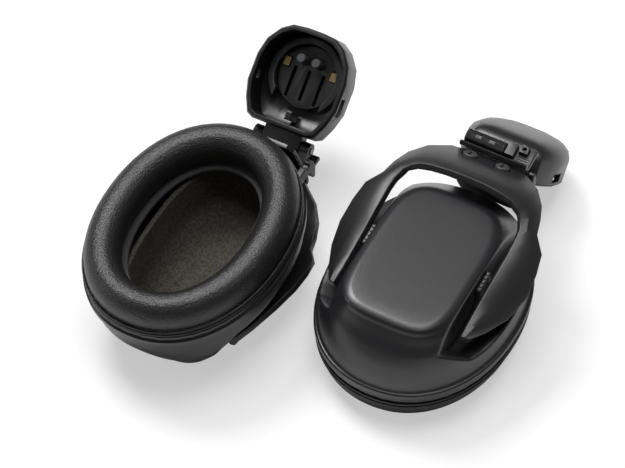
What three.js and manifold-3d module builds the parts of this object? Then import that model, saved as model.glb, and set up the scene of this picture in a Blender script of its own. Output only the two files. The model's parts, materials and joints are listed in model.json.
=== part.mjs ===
// A pair of helmet-mounted ear defenders, in millimetres, +Z up, standing on z = 0.
// Each muff is drawn in its own frame: X across the cup, Y along it towards the carrier,
// Z outwards from the head, with the origin in the middle of the cup's rim plane.
import * as THREE from "three";
import { mergeVertices } from "three/addons/utils/BufferGeometryUtils.js";
import Module from "manifold-3d";

// ---- driving dimensions ----
const CUP_LENGTH = 105; // rim, along Y
const CUP_WIDTH = 83; // rim, along X
const CUP_ROUNDNESS = 2.15; // superellipse exponent of the rim
const CROWN_LENGTH = 67;
const CROWN_WIDTH = 43;
const CROWN_HEIGHT = 32.6; // crown face above the rim plane
const CROWN_SHIFT = -4; // crown centre along Y
const SHELL_WALL = 2.4;
const CUSHION_DEPTH = 14;
const CUSHION_OPENING = [66, 48]; // along Y, along X
const BACKING_THICKNESS = 2.4;
const FOAM_THICKNESS = 3.5;
const PIVOT_HEIGHT = 23.3; // tilt axis above the rim plane
const YOKE_THICKNESS = 3.6;
const CARRIER_WIDTH = 27.4;
const BLADE_WIDTH = 28;
const HINGE_Y = 67.6; // fold axis in the yoke's frame
const HINGE_Z = -10.4;
const HEAD_LENGTH = 48;
const HEAD_HALF_WIDTH = 21.5;
const HEAD_DEPTH = 17;
const HEAD_WALL = 2.2;
const DISC_RADIUS = 13.6;
const DISC_Y = 28.5;
const GAP = 0.3; // clearance between touching pieces
const RING_STEPS = 40; // points round an oval

// Where each muff lies, in degrees: its rim centre, the heading of its Y axis, the pitch of
// that axis and the roll about it, the yoke's tilt from the cup (crossbar end lifted) and the
// head's fold below the yoke's plane. Mirror is the side the latch parts are on.
const POSE = {
  right: {
    at: [37.46, -31.966, 17], heading: 61.7, pitch: 0, roll: 0, tilt: 7.4, fold: 48.5, mirror: 1,
  },
  left: {
    at: [-55.84, -15.866, 36.617], heading: 60.3, pitch: 5.4, roll: 175.8, tilt: 3, fold: 35.7,
    mirror: -1,
  },
};

const wasm = await Module();
wasm.setup();

// ---- materials ----
const plastic = (color, roughness) =>
  new THREE.MeshStandardMaterial({ color, roughness, metalness: 0 });
const SHELL_BLACK = () => plastic("#2b2a2c", 0.42);
const YOKE_BLACK = () => plastic("#302f31", 0.5);
const CARRIER_BLACK = () => plastic("#262527", 0.48);
const HEAD_BLACK = () => plastic("#29282a", 0.5);
const PIN_GREY = () => plastic("#6b6a6a", 0.45);
const CUSHION_BLACK = () => plastic("#39383a", 0.62);
const FELT_GREY = () => plastic("#4a4a4a", 0.95);
const FOAM_BROWN = () => plastic("#4f4a42", 0.97);
const BRASS = () =>
  new THREE.MeshStandardMaterial({ color: "#b8a070", roughness: 0.35, metalness: 1 });

// ---- solids ----
// Geometry to solid and back, for the joins and cuts.
function solid(geometry) {
  const g = geometry.clone();
  for (const name of ["normal", "uv"]) g.deleteAttribute(name);
  const m = mergeVertices(g, 1e-4);
  return new wasm.Manifold(
    new wasm.Mesh({
      numProp: 3,
      vertProperties: new Float32Array(m.getAttribute("position").array),
      triVerts: new Uint32Array(m.index.array),
    }),
  );
}

function geometryOf(manifold) {
  const m = manifold.getMesh();
  const g = new THREE.BufferGeometry();
  g.setAttribute("position", new THREE.BufferAttribute(new Float32Array(m.vertProperties), 3));
  g.setIndex(new THREE.BufferAttribute(new Uint32Array(m.triVerts), 1));
  const flat = g.toNonIndexed();
  flat.computeVertexNormals();
  return flat;
}

function cut(geometry, ...tools) {
  return geometryOf(tools.reduce((body, tool) => body.subtract(solid(tool)), solid(geometry)));
}

function join(geometry, ...others) {
  return geometryOf(others.reduce((body, other) => body.add(solid(other)), solid(geometry)));
}

// A closed skin through rings with equal point counts, given from one end to the other.
// With loop true the last ring joins the first (a torus); otherwise both ends are capped.
function loft(rings, loop = false) {
  const n = rings[0].length;
  const points = rings.flat();
  const faces = [];
  const bands = loop ? rings.length : rings.length - 1;
  for (let r = 0; r < bands; r++) {
    const a = r * n;
    const b = ((r + 1) % rings.length) * n;
    for (let i = 0; i < n; i++) {
      const j = (i + 1) % n;
      faces.push(a + i, a + j, b + j, a + i, b + j, b + i);
    }
  }
  if (!loop) {
    const cap = (start, flip) => {
      const centre = points.length;
      const sum = [0, 0, 0];
      for (let i = 0; i < n; i++) for (let k = 0; k < 3; k++) sum[k] += points[start + i][k] / n;
      points.push(sum);
      for (let i = 0; i < n; i++) {
        const j = (i + 1) % n;
        faces.push(centre, start + (flip ? j : i), start + (flip ? i : j));
      }
    };
    cap(0, true);
    cap((rings.length - 1) * n, false);
  }
  // Six times the enclosed volume; its sign tells which way the faces point.
  let volume = 0;
  for (let f = 0; f < faces.length; f += 3) {
    const [p, q, r] = [0, 1, 2].map((k) => points[faces[f + k]]);
    volume += p[0] * (q[1] * r[2] - q[2] * r[1]) - p[1] * (q[0] * r[2] - q[2] * r[0]) +
      p[2] * (q[0] * r[1] - q[1] * r[0]);
  }
  if (volume < 0) faces.reverse();
  const g = new THREE.BufferGeometry();
  g.setAttribute("position", new THREE.Float32BufferAttribute(points.flat(), 3));
  g.setIndex(faces);
  const flat = g.toNonIndexed();
  flat.computeVertexNormals();
  return flat;
}

// One superellipse ring, |x/a|^n + |y/b|^n = 1, counter-clockwise seen from +Z.
function oval(halfX, halfY, z, power = CUP_ROUNDNESS, shiftY = 0, steps = RING_STEPS) {
  const ring = [];
  for (let i = 0; i < steps; i++) {
    const t = (2 * Math.PI * i) / steps;
    const c = Math.cos(t);
    const s = Math.sin(t);
    ring.push([
      halfX * Math.sign(c) * Math.abs(c) ** (2 / power),
      shiftY + halfY * Math.sign(s) * Math.abs(s) ** (2 / power),
      z,
    ]);
  }
  return ring;
}

// A flat closed outline [x, y] pulled up from z0 to z1, with an optional chamfer.
function slab(outline, z0, z1, chamfer = 0) {
  const points = outline.map(([x, y]) => new THREE.Vector2(x, y));
  if (THREE.ShapeUtils.isClockWise(points)) points.reverse();
  const shape = new THREE.Shape(points);
  const g = new THREE.ExtrudeGeometry(shape, {
    depth: z1 - z0 - 2 * chamfer,
    bevelEnabled: chamfer > 0,
    bevelSegments: 1,
    bevelSize: chamfer,
    bevelOffset: -chamfer,
    bevelThickness: chamfer,
  });
  return g.translate(0, 0, z0 + chamfer);
}

// A profile [y, z] pulled along X from x0 to x1.
function rail(profile, x0, x1, chamfer = 0) {
  const g = slab(profile, x0, x1, chamfer);
  return g.applyMatrix4(new THREE.Matrix4().set(0, 0, 1, 0, 1, 0, 0, 0, 0, 1, 0, 0, 0, 0, 0, 1));
}

function box(x0, x1, y0, y1, z0, z1) {
  const g = new THREE.BoxGeometry(x1 - x0, y1 - y0, z1 - z0);
  return g.translate((x0 + x1) / 2, (y0 + y1) / 2, (z0 + z1) / 2);
}

function chamferBox(x0, x1, y0, y1, z0, z1, c) {
  return slab([[x0, y0], [x1, y0], [x1, y1], [x0, y1]], z0, z1, c);
}

function circle(x, y, r, steps = 20) {
  const ring = [];
  for (let i = 0; i < steps; i++) {
    const t = (2 * Math.PI * i) / steps;
    ring.push([x + r * Math.cos(t), y + r * Math.sin(t)]);
  }
  return ring;
}

function rodX(r, x0, x1, y, z, steps = 20) {
  return rail(circle(y, z, r, steps), x0, x1, Math.min(0.3, r / 4));
}

// ---- cup ----
const CX = CUP_WIDTH / 2;
const CY = CUP_LENGTH / 2;
const KX = CROWN_WIDTH / 2;
const KY = CROWN_LENGTH / 2;
const POCKET_X = KX + 2.9; // inner face of the pockets beside the crown

function cupShell() {
  const outer = loft([
    oval(CX, CY, 0),
    oval(CX, CY, 2.6),
    oval(CX - 1.4, CY - 1.4, 3.2),
    oval(CX - 1.9, CY - 2.0, 9, 2.2),
    oval(CX - 3.4, CY - 4.0, 15, 2.3, -0.5),
    oval(CX - 6.2, CY - 7.4, 20.5, 2.5, -1.2),
    oval(CX - 10.5, CY - 11.6, 25.2, 2.8, -2.2),
    oval(KX + 5.2, KY + 4.0, 29.0, 3.3, -3.2),
    oval(KX + 1.6, KY + 1.5, 31.6, 3.8, CROWN_SHIFT),
    oval(KX - 1.2, KY - 1.2, CROWN_HEIGHT, 4, CROWN_SHIFT),
  ]);
  const hollow = loft([
    oval(CX - SHELL_WALL - 1.6, CY - SHELL_WALL - 1.6, -1),
    oval(CX - SHELL_WALL - 2, CY - SHELL_WALL - 2.2, 5, 2.2),
    oval(CX - 9.5, CY - 6, 8, 2.4, -0.5),
    oval(POCKET_X - SHELL_WALL, CY - 8, 9.2, 2.6, -0.8),
    oval(POCKET_X - SHELL_WALL, CY - 11, 19, 3, -1.5),
    oval(POCKET_X - SHELL_WALL - 0.6, KY + 1, 25.5, 3.4, -3),
    oval(KX - SHELL_WALL, KY - SHELL_WALL, CROWN_HEIGHT - SHELL_WALL, 4, CROWN_SHIFT),
  ]);
  // The yoke's arms lie in a wedge-shaped pocket on each long side.
  const wedge = [[-38, 21.5], [-27, 12.4], [-20, 11.8], [60, 11.8], [60, 60], [-38, 60]];
  const pockets = [1, -1].map((s) =>
    rail(wedge, s > 0 ? POCKET_X : -60, s > 0 ? 60 : -POCKET_X));
  const bores = [1, -1].map((s) =>
    rodX(2.3, s > 0 ? 15 : -30, s > 0 ? 30 : -15, 0, PIVOT_HEIGHT));
  return cut(outer, hollow, ...pockets, ...bores);
}

function foamLiner() {
  const skin = GAP;
  const outer = loft([
    oval(POCKET_X - SHELL_WALL - 0.6, CY - 11, 1.2, 2.5, -0.6),
    oval(POCKET_X - SHELL_WALL - 0.6, CY - 11.2, 10, 2.6, -0.8),
    oval(POCKET_X - SHELL_WALL - 1.0 - skin, CY - 12.2, 18.2, 3, -1.5),
    oval(POCKET_X - SHELL_WALL - 3.6 - skin, KY - 0.6, 24.6, 3.4, -3),
    oval(KX - SHELL_WALL - 4, KY - SHELL_WALL - 2.4, CROWN_HEIGHT - SHELL_WALL - 1.2, 4, -4),
  ]);
  const t = FOAM_THICKNESS;
  const hollow = loft([
    oval(POCKET_X - SHELL_WALL - 0.4 - t * 0.6, CY - 10.6 - t * 0.6, 0, 2.4, -0.6),
    oval(POCKET_X - SHELL_WALL - 1 - t * 0.8, CY - 12 - t * 0.8, 10, 2.5, -0.8),
    oval(POCKET_X - SHELL_WALL - 2 - t, CY - 13.2 - t, 17.2, 2.8, -1.5),
    oval(POCKET_X - SHELL_WALL - 6 - t, KY - 3.4 - t, 22, 3, -3),
  ]);
  return cut(outer, hollow);
}

// An oval ring whose section is given as [inset from the rim, z] points.
function ovalRing(section, power = CUP_ROUNDNESS) {
  return loft(section.map(([inset, z]) => oval(CX - inset, CY - inset, z, power)), true);
}

const openX = CX - CUSHION_OPENING[1] / 2;
const backTop = -GAP;
const backLow = backTop - BACKING_THICKNESS;
const cushionTop = backLow - GAP;
const cushionLow = cushionTop - CUSHION_DEPTH;

function backingRing() {
  return ovalRing([[0.6, backTop], [0.6, backLow + 0.5], [1.1, backLow], [11, backLow],
    [11, backTop]]);
}

function feltRing() {
  return ovalRing([[11.4, backTop], [11.4, backLow], [18.5, backLow], [18.5, backTop]], 2.15);
}

function earCushion() {
  const d = CUSHION_DEPTH;
  const rows = [
    [1.6, 0], [1.2, -2.2], [1.0, -5.5], [1.6, -8.6], [3.4, -11.6], [6.0, -13.4],
    [9.0, -14], [12.2, -13.3], [14.9, -11.2], [16.7, -8], [17.3, -4.6], [16.9, -1.6],
    [15.8, 0],
  ];
  const scale = openX / 17.3;
  return ovalRing(rows.map(([i, z]) => [i * scale, cushionTop + (z * d) / 14]), 2.1);
}

// ---- yoke ----
// Stations from the middle of the crossbar to the arm's tip: inner edge, outer edge and
// how far across the ridge between the two facets lies.
const YOKE_HALF = [
  [[0, 36.2, 13.6], [0, 58.4, -3.8], 0.2],
  [[8, 36.2, 13.3], [9, 58.4, -3.8], 0.2],
  [[15, 36.0, 12.2], [17, 56.8, -2.6], 0.22],
  [[20.5, 35.4, 10.8], [25.0, 51.0, 0.2], 0.25],
  [[24.0, 34.0, 9.2], [30.4, 43.6, 1.8], 0.3],
  [[26.6, 31.6, 7.4], [33.2, 36.5, 2.7], 0.34],
  [[28.2, 27.6, 6.2], [34.9, 29.9, 2.6], 0.36],
  [[28.6, 23.0, 5.6], [40.0, 23.6, 0.2], 0.36],
  [[28.7, 15, 4.8], [41.6, 15.3, -2.0], 0.36],
  [[28.6, 5, 4.2], [42.2, 5, -4.4], 0.36],
  [[28.4, -7, 3.6], [39.8, -7, -4.2], 0.36],
  [[28.2, -19, 3.2], [35.2, -18, -1.4], 0.36],
  [[28.4, -26, 3.0], [31.4, -24.5, 1.0], 0.4],
];

// A six-sided section of the yoke at one station, as a list of points.
function yokeSection([inner, outer, ridge], s) {
  const a = new THREE.Vector3(...inner);
  const b = new THREE.Vector3(...outer);
  const along = b.clone().sub(a);
  const side = new THREE.Vector3(along.z, 0, -along.x);
  if (inner[0] < 26) side.set(0, -along.z, along.y);
  side.normalize();
  if (side.z < 0) side.negate();
  const m = a.clone().addScaledVector(along, ridge).addScaledVector(side, 1.1);
  const t = YOKE_THICKNESS;
  const low = (p, k) => p.clone().addScaledVector(side, -t * k);
  const points = [a, m, b, low(b, 0.7), low(m, 1), low(a, 0.8)];
  return points.map((p) => [s * p.x, p.y, p.z]);
}

function yoke() {
  const right = YOKE_HALF.map((station) => yokeSection(station, 1));
  const left = YOKE_HALF.slice(1).map((station) => yokeSection(station, -1));
  const body = loft([...left.reverse(), ...right].map((ring) => ring.slice().reverse()));
  // Keyhole seats for the two studs, through the crossbar plate.
  const seats = [1, -1].map((s) => tilted(slab(circle(s * 7.3, 0, 3.4), -6, 4), 54.2, -0.4));
  return cut(body, ...seats);
}

// Moves a geometry drawn flat onto the crossbar's sloping plate, at y, z in the yoke's frame.
const PLATE_SLOPE = -38.1;
function tilted(geometry, y, z) {
  return geometry
    .rotateX(THREE.MathUtils.degToRad(PLATE_SLOPE))
    .translate(0, y, z);
}

function crossbarStud(s) {
  const post = slab(circle(s * 7.3, 0, 3.05), -4.2, 1.0, 0.3);
  const slot = box(s * 7.3 - 0.7, s * 7.3 + 0.7, -2.2, 2.2, 0.2, 2);
  return tilted(cut(post, slot), 54.2, -0.4);
}

// A ribbed block that runs along the arm's inner edge and holds the tilt pin.
function pivotSlider(s) {
  const x0 = POCKET_X + GAP;
  const x1 = 26.4;
  const ribs = [-3.2, -1.1, 1.0, 3.1].map((y) => box(x0 - 1, x1 + 1, y - 0.35, y + 0.35, 4.0, 6));
  const bore = rodX(2.3, x0 - 2, x1 + 2, 0, 0);
  const block = cut(chamferBox(x0, x1, -4.8, 4.8, -4.2, 4.6, 0.4), ...ribs, bore);
  return handed(block, s);
}

function pivotPin(s) {
  return handed(rodX(2, KX - 0.9, 26.2, 0, 0), s);
}

// A geometry as drawn for the +X side, or its mirror image for the other side.
function handed(geometry, s) {
  return s > 0 ? geometry : mirrored(geometry);
}

// The same shape on the other side of the Y-Z plane, its faces still pointing out.
function mirrored(geometry) {
  const g = geometry.clone().scale(-1, 1, 1);
  const p = g.getAttribute("position");
  const q = p.clone();
  for (let i = 0; i < p.count; i += 3) {
    q.setXYZ(i + 1, p.getX(i + 2), p.getY(i + 2), p.getZ(i + 2));
    q.setXYZ(i + 2, p.getX(i + 1), p.getY(i + 1), p.getZ(i + 1));
  }
  g.setAttribute("position", q);
  g.computeVertexNormals();
  return g;
}

// ---- carrier, in the yoke's frame ----
const HW = CARRIER_WIDTH / 2;

// The barrel that the fold spring sits in: half round on top, with two small marks.
function carrierBarrel() {
  const profile = [[60.4, -6], [60.4, -2.8], [61.5, -0.6], [63.7, 0.5], [66.0, -0.2], [67.4, -2.2],
    [67.7, -6]];
  const marks = [-8.2, -2.2].map((x) => box(x - 1.5, x + 1.5, 62.8, 64.6, -0.2, 2));
  const seam = box(-14.5, 5, 65.7, 66.0, -0.8, 2);
  return cut(rail(profile, -HW, 4.2, 0.4), ...marks, seam);
}

// The lip that clamps over the crossbar's edge.
function carrierFlange() {
  const profile = [[59.1, -8], [59.1, -4.4], [57.8, -1.2], [58.8, 0.6], [60.1, -0.8],
    [60.1, -8]];
  return rail(profile, -HW - 0.6, HW + 2.4, 0.3);
}

function carrierBlade() {
  const outline = [[-BLADE_WIDTH / 2, 0], [BLADE_WIDTH / 2, 0], [BLADE_WIDTH / 2, -16],
    [BLADE_WIDTH / 2 - 2.5, -19], [-BLADE_WIDTH / 2 + 2.5, -19], [-BLADE_WIDTH / 2, -16]];
  const windows = [-3.45, 3.45].map((x) => box(x - 1.7, x + 1.7, -12.4, -9.2, -3, 3));
  return cut(slab(outline, -1.1, 1.1), ...windows)
    .rotateX(THREE.MathUtils.degToRad(72))
    .translate(0, 59.9, -9);
}

// Two knuckles on the carrier take the fold pin; the head's knuckle lies between them.
function carrierKnuckle(s) {
  const eye = circle(HINGE_Y, HINGE_Z, 3.2, 24);
  const x0 = 9.4;
  const x1 = 13.4;
  const arm = [[61.6, -9.6], [64.6, -12], [70.6, -10.4], [67.8, -6.3], [61.0, -6.3]];
  const body = join(rail(eye, x0, x1), rail(arm, x0, x1));
  const block = cut(body, rodX(1.7, x0 - 2, x1 + 2, HINGE_Y, HINGE_Z));
  return handed(block, s);
}

// The plate beside the barrel, with a step, a small drilled block and three grooves.
function carrierPlate() {
  const plate = chamferBox(4.5, 16.0, 60.4, 69.8, -6, -3.6, 0.3);
  const step = box(4.5, 8.4, 61.4, 67.6, -4, -0.4);
  const block = box(9.4, 13.2, 65.2, 69.2, -4, -1.4);
  const hole = slab(circle(11.3, 67.2, 0.9, 12), -3, 2);
  const grooves = [61.6, 62.8, 64.0].map((y) => box(9.6, 15, y - 0.2, y + 0.2, -3.9, -3));
  return cut(join(plate, step, block), hole, ...grooves);
}

function sideBar(s) {
  const profile = [[48.6, -16], [48.6, -12], [51, -10.5], [56.8, -10.8], [59.2, -5.4],
    [60.6, -5.4], [61.6, -10.4], [60.6, -14.8], [57.6, -16.6], [56.8, -15.2], [55, -15.2],
    [54.2, -16.6]];
  return handed(rail(profile, 16.4, 19.4, 0.4), s);
}

// ---- head, in its own frame: Y along it from the fold axis, Z outwards ----
const HEAD_OUTLINE = [[13.4, 4.6], [16.4, 6.0], [19.4, 12], [HEAD_HALF_WIDTH, 19],
  [HEAD_HALF_WIDTH, 31], [19.6, 38.4], [15.2, 44.2], [10.4, 47.2], [3.8, HEAD_LENGTH]];

function headRing(inset, z, shift = 0) {
  const centre = [0, HEAD_LENGTH / 2 + 2];
  const kx = (HEAD_HALF_WIDTH - inset) / HEAD_HALF_WIDTH;
  const ky = (HEAD_LENGTH / 2 - 2 - inset) / (HEAD_LENGTH / 2 - 2);
  const right = HEAD_OUTLINE.map(([x, y]) => [x * kx, centre[1] + (y - centre[1]) * ky + shift, z]);
  const left = right.slice().reverse().map(([x, y]) => [-x, y, z]);
  return [...right, ...left];
}

const RIM_Z = -10;
const DOME_Z = RIM_Z + HEAD_DEPTH;

function headHousing(s) {
  const outer = loft([
    headRing(0.8, RIM_Z), headRing(0, RIM_Z + 1), headRing(0, 0.6), headRing(1.4, 3.6),
    headRing(4.2, 5.8), headRing(8.6, DOME_Z),
  ]);
  const hollow = loft([
    headRing(HEAD_WALL, RIM_Z - 1), headRing(HEAD_WALL, 1.6), headRing(4.6, 3.6),
    headRing(9, DOME_Z - 2),
  ]);
  const window = box(s * 21.4 - 4, s * 21.4 + 4, 17, 25, -8, -4.2);
  const notch = box(-s * 21.4 - 4, -s * 21.4 + 4, 21, 24.5, -6.5, -3.5);
  const shell = cut(outer, hollow, window, notch);
  const eye = join(rail(circle(0, 0, 3.2, 24), -8.9, 8.9), box(-8.9, 8.9, 0, 7, -3.2, 2.6));
  const bored = cut(join(shell, eye), rodX(1.7, -12, 12, 0, 0));
  return bored;
}

function at(geometry, y, z = 0) {
  return geometry.translate(0, y, z);
}

function headDisc() {
  const plate = slab(circle(0, 0, DISC_RADIUS, 32), 0.4, 2.6, 0.3);
  const slots = [-6.8, 0, 6.8].map((x) => box(x - 0.8, x + 0.8, -10.6, 3.0, -1, 4));
  const windows = [1, -1].map((s) => box(s * 11.2 - 1.8, s * 11.2 + 1.8, 1.4, 6.2, -1, 4));
  const pins = [1, -1].map((s) => slab(circle(s * 3.6, 6.6, 2.25, 16), -1, 4));
  return at(cut(plate, ...slots, ...windows, ...pins), DISC_Y);
}

function retainingRing() {
  const ring = slab(circle(0, 0, 17, 32), -2.8, 1.2, 0.4);
  const bore = slab(circle(0, 0, DISC_RADIUS + GAP, 32), -5, 4);
  const mouth = box(-11, 11, -24, -8, -6, 4);
  return at(cut(ring, bore, mouth), DISC_Y);
}

function discPin(s) {
  return at(slab(circle(s * 3.6, 6.6, 1.95, 16), -5.6, 3.2, 0.3), DISC_Y);
}

function brassSpring(s) {
  const profile = [[1.8, -1.1], [5.6, -1.1], [5.6, 0.4], [4.6, 1.8], [3.0, 1.8], [1.8, 0.4]];
  return at(rail(profile, s * 11.2 - 1.4, s * 11.2 + 1.4), DISC_Y, 0.9);
}

function discHub() {
  const post = slab(circle(0, 0, 4.4, 20), 2.9, DOME_Z - 2.4, 0.3);
  return at(post, DISC_Y);
}

function latchRib() {
  return chamferBox(-1.5, 1.5, 8.8, 12.8, -5.0, 3.1, 0.4);
}

// A thin leaf between the barrel and the head's knuckle, over the fold axis.
function foldSpring() {
  const z = HINGE_Z + 3.6;
  const leaf = [[63.6, z], [66.4, z], [69.6, z - 0.5], [69.6, z], [66.4, z + 0.5],
    [63.6, z + 0.5]];
  return rail(leaf, -7.5, 7.5);
}

// ---- assembly ----
const pieces = [];
function piece(group, name, geometry, material) {
  const mesh = new THREE.Mesh(geometry, material);
  mesh.name = name;
  group.add(mesh);
  pieces.push(mesh);
}

function muff(side) {
  const { at: [x, y, z], heading, roll, pitch, tilt, fold, mirror } = POSE[side];
  const rad = THREE.MathUtils.degToRad;
  const cup = new THREE.Group();
  cup.position.set(x, y, z);
  cup.quaternion
    .setFromAxisAngle(new THREE.Vector3(0, 0, 1), rad(heading - 90))
    .multiply(new THREE.Quaternion().setFromAxisAngle(new THREE.Vector3(1, 0, 0), rad(pitch)))
    .multiply(new THREE.Quaternion().setFromAxisAngle(new THREE.Vector3(0, 1, 0), rad(roll)));
  const named = (name) => `${side}_${name}`;
  piece(cup, named("cup_shell"), cupShell(), SHELL_BLACK());
  piece(cup, named("foam_liner"), foamLiner(), FOAM_BROWN());
  piece(cup, named("backing_ring"), backingRing(), SHELL_BLACK());
  piece(cup, named("felt_ring"), feltRing(), FELT_GREY());
  piece(cup, named("ear_cushion"), earCushion(), CUSHION_BLACK());

  const arm = new THREE.Group();
  arm.position.set(0, 0, PIVOT_HEIGHT);
  arm.rotation.x = rad(tilt);
  cup.add(arm);
  piece(arm, named("yoke"), yoke(), YOKE_BLACK());
  for (const s of [1, -1]) {
    const tag = s > 0 ? "a" : "b";
    piece(arm, named(`pivot_slider_${tag}`), pivotSlider(s), PIN_GREY());
    piece(arm, named(`pivot_pin_${tag}`), pivotPin(s), CARRIER_BLACK());
    piece(arm, named(`crossbar_stud_${tag}`), crossbarStud(s), PIN_GREY());
    piece(arm, named(`carrier_knuckle_${tag}`), carrierKnuckle(s), CARRIER_BLACK());
  }
  piece(arm, named("carrier_barrel"), handed(carrierBarrel(), mirror), CARRIER_BLACK());
  piece(arm, named("carrier_flange"), handed(carrierFlange(), mirror), CARRIER_BLACK());
  piece(arm, named("fold_spring"), foldSpring(), BRASS());
  piece(arm, named("carrier_blade"), carrierBlade(), CARRIER_BLACK());
  piece(arm, named("carrier_plate"), handed(carrierPlate(), mirror), CARRIER_BLACK());
  piece(arm, named("side_bar"), sideBar(mirror), YOKE_BLACK());

  const head = new THREE.Group();
  head.position.set(0, HINGE_Y, HINGE_Z);
  head.rotation.x = -rad(fold);
  arm.add(head);
  piece(head, named("fold_pin"), rodX(1.4, -13.9, 13.9, 0, 0), PIN_GREY());
  piece(head, named("head_housing"), headHousing(mirror), HEAD_BLACK());
  piece(head, named("latch_rib"), latchRib(), HEAD_BLACK());
  piece(head, named("retaining_ring"), retainingRing(), HEAD_BLACK());
  piece(head, named("head_disc"), headDisc(), CARRIER_BLACK());
  piece(head, named("disc_hub"), discHub(), HEAD_BLACK());
  for (const s of [1, -1]) {
    const tag = s > 0 ? "a" : "b";
    piece(head, named(`disc_pin_${tag}`), discPin(s), PIN_GREY());
    piece(head, named(`brass_spring_${tag}`), brassSpring(s), BRASS());
  }
  return cup;
}

const pair = new THREE.Group();
pair.name = "ear_defender_pair";
pair.add(muff("right"), muff("left"));

export default pair;
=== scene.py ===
"""Looks of a pair of ear defenders that clip to a helmet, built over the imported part.

Every shape is worked out in millimetres in the frame of its own muff and is then put in
place in metres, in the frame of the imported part. The frames of the muffs come from the
joints and the flat faces of the part's record.

Frames of one muff (X runs across the cup in all three):
  cup   origin in the plane of the cup's rim, Y along the cup towards the carrier, Z outwards
  yoke  origin on the axis on which the cup tilts
  head  origin on the axis on which the head folds
"""

import json
import math
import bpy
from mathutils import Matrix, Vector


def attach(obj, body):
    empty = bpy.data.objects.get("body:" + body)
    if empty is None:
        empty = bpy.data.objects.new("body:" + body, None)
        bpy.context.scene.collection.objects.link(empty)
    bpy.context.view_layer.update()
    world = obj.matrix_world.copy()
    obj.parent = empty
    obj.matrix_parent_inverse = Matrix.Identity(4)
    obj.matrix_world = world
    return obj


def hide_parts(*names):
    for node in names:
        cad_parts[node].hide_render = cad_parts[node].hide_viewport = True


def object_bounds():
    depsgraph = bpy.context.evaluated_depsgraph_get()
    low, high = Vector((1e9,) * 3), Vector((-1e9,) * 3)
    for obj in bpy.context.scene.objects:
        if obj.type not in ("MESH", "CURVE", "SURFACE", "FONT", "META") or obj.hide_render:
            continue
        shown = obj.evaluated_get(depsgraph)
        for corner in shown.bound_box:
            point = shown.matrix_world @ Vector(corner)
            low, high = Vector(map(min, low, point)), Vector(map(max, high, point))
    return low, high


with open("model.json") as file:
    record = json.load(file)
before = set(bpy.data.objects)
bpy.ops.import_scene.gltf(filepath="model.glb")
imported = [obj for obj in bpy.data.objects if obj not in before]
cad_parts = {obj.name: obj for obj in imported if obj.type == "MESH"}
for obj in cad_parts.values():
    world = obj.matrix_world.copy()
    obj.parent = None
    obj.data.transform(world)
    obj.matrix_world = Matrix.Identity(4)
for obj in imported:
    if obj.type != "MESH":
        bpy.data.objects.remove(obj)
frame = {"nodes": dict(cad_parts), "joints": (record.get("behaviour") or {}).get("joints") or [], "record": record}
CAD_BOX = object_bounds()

from types import SimpleNamespace

import bmesh
import bpy
import numpy as np
from bpy.props import FloatProperty, FloatVectorProperty, PointerProperty
from mathutils import Vector

bl_info = {
    "name": "Helmet ear defenders",
    "version": (1, 0, 0),
    "blender": (4, 5, 0),
    "location": "3D View > Sidebar > Ear defenders",
    "description": "Builds the cups, cushions, yokes and helmet heads of a pair of ear defenders",
    "category": "Add Mesh",
}

SIDES = ("right", "left")
MM = 0.001
PIVOT_HEIGHT = 23.3  # the tilt axis above the rim of the cup
BASE = -3.0  # the cushion's base below the rim of the cup
POCKET_INSET = 2.9  # from the side of the crown to the inner wall of a pocket


# ---- frames and meshes ----

def linear(hex_colour):
    """An sRGB hex colour as linear red, green, blue and alpha."""
    parts = [int(hex_colour[i:i + 2], 16) / 255 for i in (1, 3, 5)]
    return tuple(c / 12.92 if c <= 0.04045 else ((c + 0.055) / 1.055) ** 2.4
                 for c in parts) + (1.0,)


def muff_frame(side, part):
    """Origin in mm and the three axes, as columns, of a muff's cup, yoke or head frame."""
    joints = {j["name"]: j for j in frame["joints"]}
    mounts = {m["name"]: m for m in frame["record"]["mounts"]}
    tilt = joints[side + "_cup_tilt"]
    fold = joints[side + "_head_fold"]
    across = np.array(tilt["axis"], float)
    across /= np.linalg.norm(across)
    pivot = np.array(tilt["pos_m"], float) / MM
    if part == "cup":
        out = np.array(mounts[side + "_crown_face"]["axis"], float)
        origin = pivot
    elif part == "yoke":
        out = np.cross(across, np.array(joints[side + "_cup_height"]["axis"], float))
        origin = pivot
    else:
        out = np.array(joints[side + "_muff_swing"]["axis"], float)
        origin = np.array(fold["pos_m"], float) / MM
    out /= np.linalg.norm(out)
    along = np.cross(out, across)
    along /= np.linalg.norm(along)
    if part == "cup":
        origin = pivot - PIVOT_HEIGHT * out
    return origin, np.column_stack([across, along, out])


def placed(points, side, part):
    """Points in mm in a muff's frame, as metres in the frame of the part."""
    origin, axes = muff_frame(side, part)
    return (np.asarray(points) @ axes.T + origin) * MM


def grid_faces(rows, columns, closed_rows):
    """Four-sided faces of a grid whose columns wrap round, and whose rows may too."""
    last = rows if closed_rows else rows - 1
    r, c = np.meshgrid(np.arange(last), np.arange(columns), indexing="ij")
    up, right = (r + 1) % rows, (c + 1) % columns
    corners = [r * columns + c, r * columns + right, up * columns + right, up * columns + c]
    return np.stack(corners, axis=-1).reshape(-1, 4)


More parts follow.
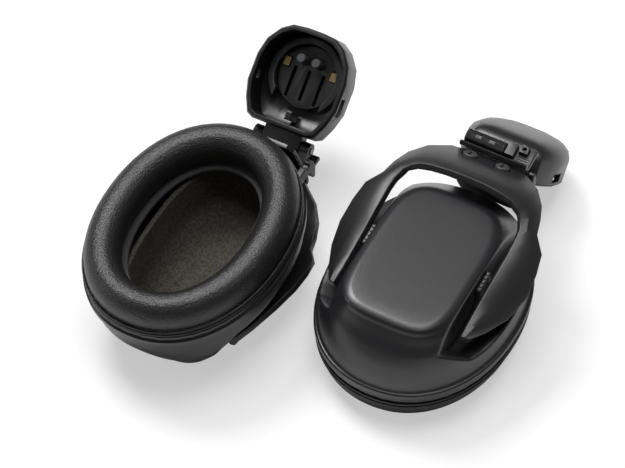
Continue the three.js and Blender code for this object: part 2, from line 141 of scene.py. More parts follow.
def skin(grid, closed_rows=False):
    """Points and faces of a closed skin over a grid of points (rows, columns, 3).

    Columns wrap round. Rows either wrap round as well, which makes a ring, or the first and
    the last are closed by a fan to their middle. Faces point outwards: they are turned
    round when the volume, the sum of p . (q x r) / 6 over the triangles, is negative.
    """
    rows, columns = grid.shape[:2]
    points = grid.reshape(-1, 3)
    faces = grid_faces(rows, columns, closed_rows).tolist()
    if not closed_rows:
        points = np.vstack([points, grid[0].mean(axis=0), grid[-1].mean(axis=0)])
        low, high = rows * columns, rows * columns + 1
        start = (rows - 1) * columns
        i = np.arange(columns)
        j = (i + 1) % columns
        faces += np.stack([j, i, np.full(columns, low)], axis=-1).tolist()
        faces += np.stack([start + i, start + j, np.full(columns, high)], axis=-1).tolist()
    quads = np.array([f if len(f) == 4 else f + f[2:] for f in faces])
    p, q, r, s = (points[quads[:, k]] for k in range(4))
    volume = (p * np.cross(q, r)).sum() + (p * np.cross(r, s)).sum()
    if volume < 0:
        faces = [f[::-1] for f in faces]
    return points, faces


def new_object(name, points, faces, material, smooth=True):
    """A mesh object at the origin from points in metres."""
    mesh = bpy.data.meshes.new(name)
    mesh.from_pydata(points.tolist(), [], faces)
    mesh.polygons.foreach_set("use_smooth", np.full(len(mesh.polygons), smooth))
    mesh.materials.append(material)
    mesh.update()
    obj = bpy.data.objects.new(name, mesh)
    bpy.context.scene.collection.objects.link(obj)
    return obj


def joined(*skins):
    """Several skins as one list of points and one of faces."""
    points, faces, start = [], [], 0
    for p, f in skins:
        points.append(p)
        faces += [[v + start for v in face] for face in f]
        start += len(p)
    return np.vstack(points), faces


def dress(obj, side, body, nodes):
    """Lets a finished piece ride on its body and stand for CAD nodes."""
    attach(obj, f"{side}_{body}")
    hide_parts(*[f"{side}_{n}" for n in nodes])
    return obj


def slots_in_record():
    """The material slot of each CAD node, by the node's name."""
    return {p["node"]: p["material_slot"] for p in frame["record"]["subparts"]}


def curve_through(knots, values, at):
    """A smooth curve through values at the knots, without overshoot.

    On each span v(t) = v0 h00 + m0 h10 + v1 h01 + m1 h11, the cubic Hermite blend, where a
    knot's slope m is the weighted harmonic mean of the chords beside it, or 0 at a turn.
    """
    knots, values, at = (np.asarray(a, float) for a in (knots, values, at))
    h = np.diff(knots)
    d = np.diff(values) / h
    slope = np.zeros(len(knots))
    slope[0], slope[-1] = d[0], d[-1]
    w0, w1 = 2 * h[1:] + h[:-1], h[1:] + 2 * h[:-1]
    same = d[:-1] * d[1:] > 0
    safe0, safe1 = np.where(same, d[:-1], 1), np.where(same, d[1:], 1)
    slope[1:-1] = np.where(same, (w0 + w1) / (w0 / safe0 + w1 / safe1), 0)
    i = np.clip(np.searchsorted(knots, at, side="right") - 1, 0, len(h) - 1)
    t = (at - knots[i]) / h[i]
    return (values[i] * (1 + 2 * t) * (1 - t) ** 2 + slope[i] * h[i] * t * (1 - t) ** 2
            + values[i + 1] * t * t * (3 - 2 * t) + slope[i + 1] * h[i] * t * t * (t - 1))


def closed_curve(points, count):
    """A smooth closed curve through 2-D points: a Catmull-Rom spline, by arc length."""
    p = np.asarray(points, float)
    n = len(p)
    t = np.arange(n * 40) / 40
    i = t.astype(int)
    u = (t - i)[:, None]
    a, b, c, d = p[(i - 1) % n], p[i % n], p[(i + 1) % n], p[(i + 2) % n]
    fine = 0.5 * (2 * b + (c - a) * u + (2 * a - 5 * b + 4 * c - d) * u ** 2
                  + (3 * b - a - 3 * c + d) * u ** 3)
    step = np.linalg.norm(np.diff(np.vstack([fine, fine[:1]]), axis=0), axis=1)
    length = np.concatenate([[0], np.cumsum(step)])
    at = np.linspace(0, length[-1], count, endpoint=False)
    ring = np.vstack([fine, fine[:1]])
    return np.column_stack([np.interp(at, length, ring[:, k]) for k in (0, 1)])


def oval(half_x, half_y, power, shift_y, angle):
    """x and y of the superellipse |x/a|^n + |y/b|^n = 1, moved by shift_y."""
    c, s = np.cos(angle), np.sin(angle)
    x = half_x * np.sign(c) * np.abs(c) ** (2 / power)
    y = shift_y + half_y * np.sign(s) * np.abs(s) ** (2 / power)
    return x, y


def even_angles(half_x, half_y, power, count):
    """Angles that spread points evenly round a superellipse, by arc length."""
    fine = np.linspace(0, 2 * np.pi, 7201)
    x, y = oval(half_x, half_y, power, 0, fine)
    length = np.concatenate([[0], np.cumsum(np.hypot(np.diff(x), np.diff(y)))])
    return np.interp(np.linspace(0, length[-1], count, endpoint=False), length, fine)


def stack_of_ovals(table, at, angle):
    """Grid of points on a stack of ovals.

    The table's rows are half width, half length, height, roundness and shift. Each column
    is a curve through its values over the running length of (half width, height), read at
    the fractions 'at'; the point is the oval of that row at the given angle.
    """
    table = np.asarray(table, float)
    run = np.hypot(np.diff(table[:, 0]), np.diff(table[:, 2]))
    knots = np.concatenate([[0], np.cumsum(np.maximum(run, 0.05))])
    rows = [curve_through(knots, table[:, k], at * knots[-1])[:, None] for k in range(5)]
    x, y = oval(rows[0], rows[1], rows[3], rows[4], angle[None, :])
    return np.stack([x, y, np.broadcast_to(rows[2], x.shape)], axis=-1)


def oval_ring(profile, half_x, half_y, power, columns):
    """A ring: a closed profile of [inset, z] carried round the oval of the cup."""
    angle = even_angles(half_x, half_y, power, columns)
    inset = profile[:, 0][:, None]
    x, y = oval(half_x - inset, half_y - inset, power, 0, angle[None, :])
    return np.stack([x, y, np.broadcast_to(profile[:, 1][:, None], x.shape)], axis=-1)


# ---- sizes and colours ----

def size(name, text, millimetres):
    return FloatProperty(name=name, description=text, default=millimetres * MM,
                         min=0.1 * MM, subtype="DISTANCE", unit="LENGTH", precision=4)


def colour(name, text, value):
    return FloatVectorProperty(name=name, description=text, default=linear(value), size=4,
                               min=0, max=1, subtype="COLOR")


class MUFF_PG_sizes(bpy.types.PropertyGroup):
    """Sizes of the pieces that are worked out here."""

    cup_width: size("Cup width", "Across the rim of the cup", 83.0)
    cup_length: size("Cup length", "Along the rim of the cup", 105.0)
    crown_width: size("Crown width", "Across the raised crown of the cup", 43.0)
    crown_length: size("Crown length", "Along the raised crown of the cup", 67.0)
    crown_height: size("Crown height", "From the rim to the top of the crown", 32.6)
    cushion_depth: size("Cushion depth", "Height of the ear cushion at rest", 14.0)
    cushion_width: size("Cushion width", "Across the padded ring from hole to edge", 17.5)
    felt_width: size("Felt width", "Across the felt ring in the cup's mouth", 7.1)
    edge_radius: size("Edge radius", "Rounding of the edges of moulded pieces", 0.35)


def sizes_in_mm(context):
    """The sizes as plain numbers in millimetres."""
    group = context.scene.muff_sizes
    return SimpleNamespace(**{name: round(getattr(group, name) / MM, 4)
                              for name in group.__annotations__})


class MUFF_PG_colours(bpy.types.PropertyGroup):
    """Colours of the materials."""

    cup: colour("Cup", "Satin moulded ABS of the cup", "#1b1a1d")
    yoke: colour("Yoke", "Fine-textured nylon of the yoke", "#1e1d1f")
    carrier: colour("Carrier", "Fine-textured nylon of the carrier and head", "#191819")
    cushion: colour("Cushion", "Fine-grained leatherette", "#171617")
    foam: colour("Foam", "Open-cell foam liner", "#3d3a33")
    felt: colour("Felt", "Felt ring", "#3c3c3c")
    brass: colour("Brass", "Rolled brass springs", "#b8a070")
    nylon: colour("Grey nylon", "Disc pins, studs and sliders", "#3f3f3f")
    steel: colour("Steel", "Ground steel pins", "#7a7a7a")
    floor: colour("Floor", "Paper under the pair", "#fbfbfb")


# ---- materials ----

def add_node(tree, kind, inputs=None, **settings):
    """Adds one node: its settings, and inputs that are values or sockets to link."""
    node = tree.nodes.new(kind)
    for key, value in settings.items():
        setattr(node, key, value)
    for key, value in (inputs or {}).items():
        socket = node.inputs[key]
        if isinstance(value, bpy.types.NodeSocket):
            tree.links.new(value, socket)
        else:
            socket.default_value = value
    return node


def start_material(name, colour_value, roughness, ior, metallic=0.0):
    """A new material with its shader, its output and object coordinates in metres."""
    material = bpy.data.materials.new(name)
    material.use_nodes = True
    tree = material.node_tree
    tree.nodes.clear()
    shader = add_node(tree, "ShaderNodeBsdfPrincipled", {
        "Base Color": colour_value, "Roughness": roughness, "IOR": ior, "Metallic": metallic})
    add_node(tree, "ShaderNodeOutputMaterial", {"Surface": shader.outputs["BSDF"]})
    coordinates = add_node(tree, "ShaderNodeTexCoord")
    mapping = add_node(tree, "ShaderNodeMapping", {"Vector": coordinates.outputs["Object"]})
    return material, tree, shader, mapping.outputs["Vector"]


def per_metre(millimetres):
    """Texture scale at which one cell of a pattern has this size."""
    return 1 / (millimetres * MM)


def moulded_plastic(name, colour_value, roughness, grain, depth, ior):
    """Injection-moulded plastic. The mould's spark-eroded grain spreads the highlights
    softly; it is drawn about twice as coarse as it is, so that it shows."""
    material, tree, shader, place = start_material(name, colour_value, roughness, ior)
    fine = add_node(tree, "ShaderNodeTexNoise", {
        "Vector": place, "Scale": per_metre(grain), "Detail": 2.0, "Roughness": 0.5})
    bump = add_node(tree, "ShaderNodeBump", {
        "Height": fine.outputs["Fac"], "Strength": 1.0, "Distance": depth * MM})
    tree.links.new(bump.outputs["Normal"], shader.inputs["Normal"])
    return material


def pressed_leatherette(name, colour_value):
    """Polyurethane film with a pressed pebble grain, drawn at 0.75 mm over foam: each
    pebble catches its own small highlight, so the surface looks speckled."""
    material, tree, shader, place = start_material(name, colour_value, 0.44, 1.5)
    pebbles = add_node(tree, "ShaderNodeTexVoronoi", {
        "Vector": place, "Scale": per_metre(0.75), "Randomness": 1.0},
        feature="SMOOTH_F1")
    creases = add_node(tree, "ShaderNodeTexNoise", {
        "Vector": place, "Scale": per_metre(0.7), "Detail": 3.0, "Roughness": 0.6})
    both = add_node(tree, "ShaderNodeMath", {
        0: pebbles.outputs["Distance"], 1: creases.outputs["Fac"]}, operation="ADD")
    bump = add_node(tree, "ShaderNodeBump", {
        "Height": both.outputs["Value"], "Strength": 1.0, "Distance": 0.15 * MM},
        invert=True)
    tree.links.new(bump.outputs["Normal"], shader.inputs["Normal"])
    return material


def open_cell_foam(name, colour_value):
    """Open-cell polyurethane foam: matt, with pores of about 0.8 mm whose hollows are darkened by painted shade,
    while the raised cells are painted lighter.
    """
    material, tree, shader, place = start_material(name, colour_value, 0.95, 1.45)
    pores = add_node(tree, "ShaderNodeTexNoise", {
        "Vector": place, "Scale": per_metre(1.1), "Detail": 4.0, "Roughness": 0.65})
    # Painted shade and light: the ramp follows the bump's height, darkening the pores' hollows and lightening the
    # raised cells.
    shade = add_node(tree, "ShaderNodeValToRGB", {"Fac": pores.outputs["Fac"]})
    pore_painted_shade = tuple(0.45 * c for c in colour_value[:3]) + (1.0,)
    cell_painted_light = tuple(min(1.0, 1.5 * c) for c in colour_value[:3]) + (1.0,)
    shade.color_ramp.elements[0].position, shade.color_ramp.elements[0].color = 0.35, pore_painted_shade
    shade.color_ramp.elements[1].position, shade.color_ramp.elements[1].color = 0.68, cell_painted_light
    tree.links.new(shade.outputs["Color"], shader.inputs["Base Color"])
    bump = add_node(tree, "ShaderNodeBump", {
        "Height": pores.outputs["Fac"], "Strength": 1.0, "Distance": 0.35 * MM})
    tree.links.new(bump.outputs["Normal"], shader.inputs["Normal"])
    return material


def pressed_felt(name, colour_value):
    """Needled polyester felt: matt, with short fibres that lie in all directions."""
    material, tree, shader, place = start_material(name, colour_value, 0.98, 1.45)
    fibres = add_node(tree, "ShaderNodeTexNoise", {
        "Vector": place, "Scale": per_metre(0.6), "Detail": 3.0, "Distortion": 1.5})
    bump = add_node(tree, "ShaderNodeBump", {
        "Height": fibres.outputs["Fac"], "Strength": 1.0, "Distance": 0.15 * MM})
    tree.links.new(bump.outputs["Normal"], shader.inputs["Normal"])
    return material


def bare_metal(name, colour_value, roughness, grain):
    """Rolled or ground metal: fine streaks of about 0.2 mm blur the reflections."""
    material, tree, shader, place = start_material(name, colour_value, roughness, 1.5, 1.0)
    streaks = add_node(tree, "ShaderNodeTexNoise", {
        "Vector": place, "Scale": per_metre(grain), "Detail": 1.0})
    bump = add_node(tree, "ShaderNodeBump", {
        "Height": streaks.outputs["Fac"], "Strength": 1.0, "Distance": 0.005 * MM})
    tree.links.new(bump.outputs["Normal"], shader.inputs["Normal"])
    return material


def material_for(slot):
    """The material of one of the record's slots, made once."""
    found = bpy.data.materials.get(slot + "_finish")
    if found:
        return found
    c = bpy.context.scene.muff_colours
    name = slot + "_finish"
    # ABS refracts at about 1.53 and nylon at about 1.54.
    if slot == "cup_plastic":
        return moulded_plastic(name, c.cup, 0.33, 0.7, 0.030, 1.53)
    if slot == "ring_plastic":
        return moulded_plastic(name, c.cup, 0.44, 0.5, 0.02, 1.53)
    if slot == "yoke_plastic":
        return moulded_plastic(name, c.yoke, 0.42, 0.5, 0.02, 1.54)
    if slot == "carrier_plastic":
        return moulded_plastic(name, c.carrier, 0.36, 0.6, 0.02, 1.54)
    if slot == "grey_nylon":
        return moulded_plastic(name, c.nylon, 0.45, 0.5, 0.01, 1.54)
    if slot == "leatherette":
        return pressed_leatherette(name, c.cushion)
    if slot == "foam":
        return open_cell_foam(name, c.foam)
    if slot == "felt":
        return pressed_felt(name, c.felt)
    if slot == "brass":
        return bare_metal(name, c.brass, 0.32, 0.2)
    if slot == "pin_steel":
        return bare_metal(name, c.steel, 0.30, 0.2)
    raise ValueError(f"no material is made for the slot {slot!r}")


# ---- shapes ----

def cup_outside(s, at, angle):
    """The outside of the cup before its pockets: a stack of ovals from rim to crown."""
    cx, cy = s.cup_width / 2, s.cup_length / 2
    kx, ky, top = s.crown_width / 2, s.crown_length / 2, s.crown_height
    table = [
        (cx, cy, 0.0, 2.15, 0),
        (cx, cy, 2.5, 2.15, 0),
        (cx - 0.35, cy - 0.35, 2.9, 2.15, 0),
        (cx - 1.35, cy - 1.35, 3.2, 2.15, 0),
        (cx - 1.55, cy - 1.6, 5.4, 2.17, 0),
        (cx - 1.9, cy - 2.0, 9, 2.2, 0),
        (cx - 3.4, cy - 4.0, 15, 2.3, -0.5),
        (cx - 6.2, cy - 7.4, 20.5, 2.5, -1.2),
        (cx - 10.5, cy - 11.6, 25.2, 2.8, -2.2),
        (kx + 5.2, ky + 4.0, 29.0, 3.3, -3.2),
        (kx + 1.6, ky + 1.5, 31.5, 3.8, -4),
        (kx - 1.2, ky - 1.2, top - 0.25, 4, -4),
        (kx - 6.0, ky - 7.0, top - 0.05, 3.6, -4),
        (1.0, 1.6, top, 3.2, -4),
    ]
    return stack_of_ovals(table, at, angle)


def pocket_depth(p, wall_x, blend=1.2):
    """How far a point is inside the pockets beside the crown, negative outside them.

    It is the smooth minimum of |x| - wall_x and z - floor(y), where the floor is level
    and rises in a wedge at the far end: smin(a, b) = min(a, b) - (k - |a - b|)^2 / 4k.
    """
    floor = np.interp(p[..., 1], [-60, -38, -27, -20, 60], [39.7, 21.5, 12.4, 11.8, 11.8])
    a = np.abs(p[..., 0]) - wall_x
    b = p[..., 2] - floor
    overlap = np.maximum(blend - np.abs(a - b), 0)
    return np.minimum(a, b) - overlap ** 2 / (4 * blend)


def with_pockets(grid, wall_x, edge=0.9):
    """The outside of the cup with its pockets sunk in.

    Each point slides along the line from an anchor on the cup's axis, q(f) = a + f (p - a),
    to the first f where max((f - 1) |p - a|, depth(q)) = 0, found by halving. The maximum
    is a smooth one, which rounds the pocket's edge.
    """
    anchor = grid * [0, 0.5, 0]
    reach = np.linalg.norm(grid - anchor, axis=-1)
    low, high = np.full(reach.shape, 0.05), np.ones(reach.shape)
    for _ in range(34):
        f = (low + high) / 2
        a = (f - 1) * reach
        b = pocket_depth(anchor + f[..., None] * (grid - anchor), wall_x)
        overlap = np.maximum(edge - np.abs(a - b), 0)
        outside = np.maximum(a, b) + overlap ** 2 / (4 * edge) > 0
        high, low = np.where(outside, f, high), np.where(outside, low, f)
    return anchor + low[..., None] * (grid - anchor)


def cup_skin(s):
    """The cup's shell: its outside with pockets, its rim and its hollow inside."""
    cx, cy = s.cup_width / 2, s.cup_length / 2
    kx, ky = s.crown_width / 2, s.crown_length / 2
    angle = even_angles(cx, cy, 2.15, 420)
    at = np.unique(np.concatenate([np.linspace(0, 0.09, 14), np.linspace(0.09, 1, 150)]))
    outside = with_pockets(cup_outside(s, at, angle), kx + POCKET_INSET)
    inner = [
        (cx - 4.0, cy - 4.0, 0, 2.15, 0),
        (cx - 4.4, cy - 4.6, 5, 2.2, 0),
        (cx - 9.5, cy - 6.0, 8, 2.4, -0.5),
        (kx + 0.5, cy - 8.0, 9.2, 2.6, -0.8),
        (kx + 0.45, cy - 11.0, 19, 3, -1.5),
        (kx - 0.1, ky + 1.0, 25.5, 3.4, -3),
        (kx - 2.4, ky - 2.4, s.crown_height - 2.4, 4, -4),
        (1.0, 1.6, s.crown_height - 2.3, 3, -4),
    ]
    inside = stack_of_ovals(inner, np.linspace(0, 1, 26), angle)
    return skin(np.concatenate([inside[::-1], outside]))


def cushion_profile(s, shrink=0.0):
    """The cushion's section as [inset, z], drawn in towards its middle by a fraction."""
    rows = np.array([
        [1.6, 0], [1.2, -2.2], [1.0, -5.5], [1.6, -8.6], [3.4, -11.6], [6.0, -13.4],
        [9.0, -14], [12.2, -13.3], [14.9, -11.2], [16.7, -8], [17.3, -4.6], [16.9, -1.6],
        [15.8, 0]])
    rows *= [s.cushion_width / 17.3, s.cushion_depth / 14]
    rows[:, 1] += BASE
    middle = np.array([rows[:, 0].mean(), rows[:, 1].mean()])
    return closed_curve(middle + (rows - middle) * (1 - shrink), 64)


CUSHION_CELL = 1.6  # size of the cushion's remeshed cells
CUSHION_CAP = 1.1  # how far a point of the cover may move
CUSHION_START = 0.07  # the cover starts this fraction smaller
COVER_FRAMES = 20


def swollen_cushion(s):
    """Points in mm and faces of the cushion after its cover has been blown up.

    A ring that starts a little small is remeshed to even cells, then Blender's cloth blows
    it up from inside. No point moves more than the cap.
    """
    ring = oval_ring(cushion_profile(s, CUSHION_START), s.cup_width / 2, s.cup_length / 2, 2.12, 200)
    points, faces = skin(ring, closed_rows=True)
    mesh = bpy.data.meshes.new("cushion_cover")
    mesh.from_pydata((points * MM).tolist(), [], faces)
    obj = bpy.data.objects.new("cushion_cover", mesh)
    bpy.context.scene.collection.objects.link(obj)
    remesh = obj.modifiers.new("cells", "REMESH")
    remesh.mode, remesh.voxel_size = "VOXEL", CUSHION_CELL * MM
    cells = evaluated_mesh(obj)
    obj.modifiers.clear()
    obj.data = cells
    rest = vertex_array(cells)
    cloth = obj.modifiers.new("cover", "CLOTH")
    cloth.settings.use_pressure = True
    cloth.settings.uniform_pressure_force = 4.0
    cloth.settings.effector_weights.gravity = 0
    cloth.settings.mass = 0.02
    cloth.settings.quality = 6
    cloth.point_cache.frame_start, cloth.point_cache.frame_end = 1, COVER_FRAMES
    for number in range(1, COVER_FRAMES + 1):
        bpy.context.scene.frame_set(number)
    blown = vertex_array(evaluated_mesh(obj))
    obj.modifiers.clear()
    bpy.context.scene.frame_set(1)
    move = (blown - rest) / MM
    far = np.linalg.norm(move, axis=1, keepdims=True)
    move *= np.minimum(1, CUSHION_CAP / np.maximum(far, 1e-9))
    cells.vertices.foreach_set("co", (rest + move * MM).ravel())
    cells.update()
    divide = obj.modifiers.new("finer", "SUBSURF")
    divide.levels = divide.render_levels = 1
    obj.data = evaluated_mesh(obj)
    obj.modifiers.clear()
    points = vertex_array(obj.data) / MM
    faces = [list(p.vertices) for p in obj.data.polygons]
    bpy.data.objects.remove(obj)
    return points, faces


def evaluated_mesh(obj):
    """A new mesh with the object's modifiers applied."""
    graph = bpy.context.evaluated_depsgraph_get()
    return bpy.data.meshes.new_from_object(obj.evaluated_get(graph), depsgraph=graph)


def vertex_array(mesh):
    flat = np.zeros(len(mesh.vertices) * 3)
    mesh.vertices.foreach_get("co", flat)
    return flat.reshape(-1, 3)


def welt(s, inset, z, radius):
    """A thin round lip that runs round the cushion's base: a circle carried on the oval."""
    turn = np.linspace(0, 2 * np.pi, 12, endpoint=False)
    profile = np.column_stack([inset + radius * np.cos(turn), z + radius * np.sin(turn)])
    ring = oval_ring(profile, s.cup_width / 2, s.cup_length / 2, 2.12, 220)
    return skin(ring, closed_rows=True)


def felt_skin(s):
    """The felt ring: a flat band with round edges, |u|^4 + |v|^4 = 1 in section."""
    turn = np.linspace(0, 2 * np.pi, 40, endpoint=False)
    u, v = oval(s.felt_width / 2, 1.2, 4, 0, turn)
    profile = np.column_stack([11.4 + s.felt_width / 2 + u, -1.5 + v])
    return skin(oval_ring(profile, s.cup_width / 2, s.cup_length / 2, 2.15, 200), True)


def foam_skin(s):
    """The foam liner: a bowl with soft dents and one crease across its floor.

    Over the inner face z falls by 0.5 sin(x / 5) sin(y / 6), and along the curve
    x = 6 + y^2 / 90 it rises by 0.8 exp(-(distance / 1.2)^2).
    """
    cy, kx, ky = s.cup_length / 2, s.crown_width / 2, s.crown_length / 2
    wall = kx + 0.5
    outer = [
        (wall - 0.6, cy - 11.0, 1.2, 2.5, -0.6), (wall - 0.6, cy - 11.2, 10, 2.6, -0.8),
        (wall - 1.3, cy - 12.2, 18.2, 3, -1.5), (wall - 3.9, ky - 0.6, 24.6, 3.4, -3),
        (kx - 6.4, ky - 4.8, s.crown_height - 3.6, 4, -4), (1, 1.6, s.crown_height - 3.5, 3, -4)]
    inner = [
        (wall - 2.5, cy - 12.7, 1.2, 2.4, -0.6), (wall - 3.8, cy - 14.8, 10, 2.5, -0.8),
        (wall - 5.5, cy - 16.7, 17.2, 2.8, -1.5), (wall - 9.5, ky - 6.9, 22, 3, -3),
        (kx - 12, ky - 14, 23.0, 2.6, -3.5), (1, 1.6, 23.2, 2.4, -4)]
    angle = even_angles(kx, ky, 2.4, 200)
    inside = stack_of_ovals(inner, np.linspace(0, 1, 80), angle)
    x, y, z = inside[..., 0], inside[..., 1], inside[..., 2]
    deep = np.clip((z - 6) / 8, 0, 1)
    crease = np.exp(-((x - 6 - y ** 2 / 90) / 1.2) ** 2)
    inside[..., 2] = z + deep * (0.5 * np.sin(x / 5) * np.sin(y / 6) - 0.8 * crease)
    outside = stack_of_ovals(outer, np.linspace(0, 1, 30), angle)
    return skin(np.concatenate([outside[::-1], inside]))


def rounded_copy(node, radius):
    """A merged copy of a CAD node, its flat faces rejoined, with a small edge rounding."""
    source = frame["nodes"][node]
    mesh = source.data.copy()
    mesh.name = node + "_moulded"
    work = bmesh.new()
    work.from_mesh(mesh)
    bmesh.ops.remove_doubles(work, verts=work.verts, dist=2e-6)
    bmesh.ops.dissolve_limit(work, angle_limit=math.radians(1.0), verts=work.verts,
                             edges=work.edges)
    work.to_mesh(mesh)
    work.free()
    mesh.polygons.foreach_set("use_smooth", np.ones(len(mesh.polygons), bool))
    obj = bpy.data.objects.new(node + "_moulded", mesh)
    bpy.context.scene.collection.objects.link(obj)
    bevel = obj.modifiers.new("rounded edges", "BEVEL")
    bevel.width = radius * MM
    bevel.segments = 3
    bevel.limit_method = "ANGLE"
    bevel.angle_limit = math.radians(32)
    bevel.harden_normals = True
    return obj


# ---- operators ----

class MUFF_OT_cup_shells(bpy.types.Operator):
    """Makes the two cups with their raised crowns and side pockets"""

    bl_idname = "muff.cup_shells"
    bl_label = "Cup shells"

    def execute(self, context):
        points, faces = cup_skin(sizes_in_mm(context))
        for side in SIDES:
            obj = new_object(side + "_cup", placed(points, side, "cup"), faces,
                             material_for("cup_plastic"))
            dress(obj, side, "cup", ["cup_shell"])
        return {"FINISHED"}


class MUFF_OT_ear_cushions(bpy.types.Operator):
    """Blows up the two leatherette ear cushions and adds the lips at their base"""

    bl_idname = "muff.ear_cushions"
    bl_label = "Ear cushions"

    def execute(self, context):
        s = sizes_in_mm(context)
        points, faces = swollen_cushion(s)
        floor = BASE - s.cushion_depth
        points[:, 2] = np.minimum(points[:, 2], BASE + 0.05)
        lips = [welt(s, 0.9, -3.9, 0.55), welt(s, 0.75, -5.6, 0.4)]
        for side in SIDES:
            shape = points.copy()
            if side == "right":
                shape[:, 2] = np.maximum(shape[:, 2], floor)
            all_points, all_faces = joined((shape, faces), *lips)
            obj = new_object(side + "_cushion", placed(all_points, side, "cup"), all_faces,
                             material_for("leatherette"))
            dress(obj, side, "cup", ["ear_cushion"])
        return {"FINISHED"}


class MUFF_OT_linings(bpy.types.Operator):
    """Makes the felt rings and the foam liners inside the cups"""

    bl_idname = "muff.linings"
    bl_label = "Felt rings and foam liners"

    def execute(self, context):
        s = sizes_in_mm(context)
        shapes = [("felt_ring", felt_skin(s), "felt"), ("foam_liner", foam_skin(s), "foam")]
        for node, (points, faces), slot in shapes:
            for side in SIDES:
                obj = new_object(f"{side}_{node}_soft", placed(points, side, "cup"), faces,
                                 material_for(slot))
                dress(obj, side, "cup", [node])
        return {"FINISHED"}


MOULDED = {
    "cup": ["backing_ring"],
    "sliders": ["pivot_slider_a", "pivot_slider_b", "pivot_pin_a", "pivot_pin_b"],
    "yoke": ["yoke", "carrier_barrel", "carrier_flange", "carrier_blade", "carrier_plate",
             "side_bar", "carrier_knuckle_a", "carrier_knuckle_b", "crossbar_stud_a",
             "crossbar_stud_b"],
    "head": ["head_housing", "latch_rib", "retaining_ring", "disc_hub"],
    "disc": ["head_disc"],
}
KEPT_SOLIDS = ["brass_spring_a", "brass_spring_b", "fold_spring", "fold_pin", "disc_pin_a",
               "disc_pin_b"]


class MUFF_OT_moulded_pieces(bpy.types.Operator):
    """Rounds the edges of the yokes, carriers, heads and other moulded pieces"""

    bl_idname = "muff.moulded_pieces"
    bl_label = "Moulded pieces"

    def execute(self, context):
        radius = sizes_in_mm(context).edge_radius
        slots = slots_in_record()
        for side in SIDES:
            for body, nodes in MOULDED.items():
                for node in nodes:
                    slot = slots[f"{side}_{node}"]
                    obj = rounded_copy(f"{side}_{node}", radius)
                    obj.data.materials.clear()
                    obj.data.materials.append(material_for(slot))
                    dress(obj, side, body, [node])
        return {"FINISHED"}


class MUFF_OT_small_metal(bpy.types.Operator):
    """Gives the pins and springs that stay as they are their materials"""

    bl_idname = "muff.small_metal"
    bl_label = "Pins and springs"

    def execute(self, context):
        slots = slots_in_record()
        for side in SIDES:
            for node in KEPT_SOLIDS:
                mesh = frame["nodes"][f"{side}_{node}"].data
                mesh.materials.clear()
                mesh.materials.append(material_for(slots[f"{side}_{node}"]))
        return {"FINISHED"}


# ---- stage ----

# Name, place in metres, width and height in metres, and watts of each soft lamp.
LAMPS = [
    ("lamp_over", (-0.45, 0.6, 1.2), (0.5, 0.4), 14.0),
    ("lamp_top", (0.15, 0.25, 1.7), (1.0, 1.0), 17.0),
    ("lamp_left", (-1.3, 0.1, 0.55), (0.3, 0.6), 2.0),
]
LAMP_AIM = (0, 0, 0.02)
CAMERA_LENS = 163.8  # millimetres, on a sensor 36 mm wide
CAMERA_AIM = np.array([-0.00814, 0.014834, 0.0])
CAMERA_ELEVATION = 51.6
CAMERA_DISTANCE = 1.2
FLOOR_REACH = 4.0  # metres from the middle to each side
FLOOR_DROP = 0.0002  # the paper lies this far under the pair
ROOM_LIGHT = 0.14  # how strongly the white room itself lights the pair


def aim_at(obj, target):
    """Turns a lamp or camera, which looks along its own -Z, towards a point."""
    direction = Vector(target) - obj.location
    obj.rotation_euler = direction.to_track_quat("-Z", "Y").to_euler()


def paper_material(colour_value):
    """Matt paper. For the camera it is half lamp-lit and half plain white, which keeps the
    shadow but clears the paper of grey."""
    material, tree, shader, _ = start_material("matt_paper", colour_value, 0.9, 1.5)
    shader.inputs["Specular IOR Level"].default_value = 0.1
    seen = add_node(tree, "ShaderNodeLightPath")
    half = add_node(tree, "ShaderNodeMath", {
        0: seen.outputs["Is Camera Ray"], 1: 0.5}, operation="MULTIPLY")
    glow = add_node(tree, "ShaderNodeEmission", {"Color": (1, 1, 1, 1), "Strength": 1.0})
    mixed = add_node(tree, "ShaderNodeMixShader", {
        0: half.outputs[0], 1: shader.outputs[0], 2: glow.outputs[0]})
    output = next(n for n in tree.nodes if n.type == "OUTPUT_MATERIAL")
    tree.links.new(mixed.outputs[0], output.inputs["Surface"])
    return material


def add_floor(colour_value):
    x = np.array([-1, 1, 1, -1]) * FLOOR_REACH
    y = np.array([-1, -1, 1, 1]) * FLOOR_REACH
    corners = np.column_stack([x, y, np.full(4, -FLOOR_DROP)])
    floor = new_object("floor", corners, [[0, 1, 2, 3]], paper_material(colour_value),
                       smooth=False)


def add_room(scene):
    """A white room that lights the pair weakly and is plain white to the camera."""
    world = bpy.data.worlds.new("studio")
    world.use_nodes = True
    tree = world.node_tree
    tree.nodes.clear()
    white = (1, 1, 1, 1)
    path = add_node(tree, "ShaderNodeLightPath")
    dim = add_node(tree, "ShaderNodeBackground", {"Color": white, "Strength": ROOM_LIGHT})
    plain = add_node(tree, "ShaderNodeBackground", {"Color": white, "Strength": 1.0})
    mix = add_node(tree, "ShaderNodeMixShader", {
        0: path.outputs["Is Camera Ray"], 1: dim.outputs[0], 2: plain.outputs[0]})
    add_node(tree, "ShaderNodeOutputWorld", {"Surface": mix.outputs[0]})
    scene.world = world


def add_lamps(scene):
    for name, place, (width, height), watts in LAMPS:
        lamp = bpy.data.lights.new(name, "AREA")
        lamp.shape = "RECTANGLE"
        lamp.size, lamp.size_y, lamp.energy = width, height, watts
        obj = bpy.data.objects.new(name, lamp)
        scene.collection.objects.link(obj)
        obj.location = place
        aim_at(obj, LAMP_AIM)


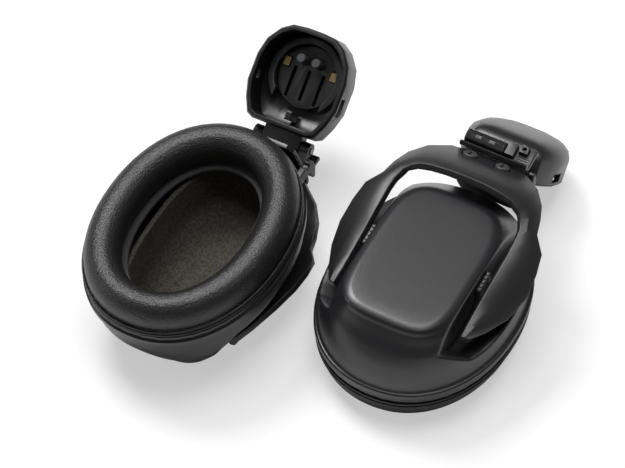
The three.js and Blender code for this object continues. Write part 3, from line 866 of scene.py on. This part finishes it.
def add_camera(scene):
    camera = bpy.data.cameras.new("camera")
    camera.sensor_width, camera.lens, camera.clip_start = 36, CAMERA_LENS, 0.05
    view = bpy.data.objects.new("camera", camera)
    scene.collection.objects.link(view)
    middle = (np.array(CAD_BOX[0]) + np.array(CAD_BOX[1])) / 2
    target = np.array([middle[0], middle[1], 0]) + CAMERA_AIM
    rise = math.radians(CAMERA_ELEVATION)
    away = np.array([0, -math.cos(rise), math.sin(rise)]) * CAMERA_DISTANCE
    view.location = target + away
    aim_at(view, target)
    scene.camera = view


class MUFF_OT_stage(bpy.types.Operator):
    """Sets the floor, the lamps and the camera"""

    bl_idname = "muff.stage"
    bl_label = "Stage"

    def execute(self, context):
        scene = context.scene
        add_floor(scene.muff_colours.floor)
        add_room(scene)
        add_lamps(scene)
        add_camera(scene)
        scene.view_settings.view_transform = "Standard"
        return {"FINISHED"}


class MUFF_PT_panel(bpy.types.Panel):
    """Sizes, colours and the steps that build the pair"""

    bl_idname = "MUFF_PT_panel"
    bl_label = "Ear defenders"
    bl_space_type = "VIEW_3D"
    bl_region_type = "UI"
    bl_category = "Ear defenders"

    def draw(self, context):
        for group in (context.scene.muff_sizes, context.scene.muff_colours):
            column = self.layout.column(align=True)
            for name in group.__annotations__:
                column.prop(group, name)
        column = self.layout.column(align=True)
        for step in STEPS:
            column.operator(step.bl_idname)


STEPS = [MUFF_OT_stage, MUFF_OT_cup_shells, MUFF_OT_ear_cushions, MUFF_OT_linings,
         MUFF_OT_moulded_pieces, MUFF_OT_small_metal]
CLASSES = [MUFF_PG_sizes, MUFF_PG_colours, *STEPS, MUFF_PT_panel]


def register():
    for cls in CLASSES:
        bpy.utils.register_class(cls)
    bpy.types.Scene.muff_sizes = PointerProperty(type=MUFF_PG_sizes)
    bpy.types.Scene.muff_colours = PointerProperty(type=MUFF_PG_colours)


def unregister():
    del bpy.types.Scene.muff_colours
    del bpy.types.Scene.muff_sizes
    for cls in reversed(CLASSES):
        bpy.utils.unregister_class(cls)


def main():
    register()
    for step in STEPS:
        group, name = step.bl_idname.split(".")
        getattr(getattr(bpy.ops, group), name)()


if __name__ == "__main__":
    main()
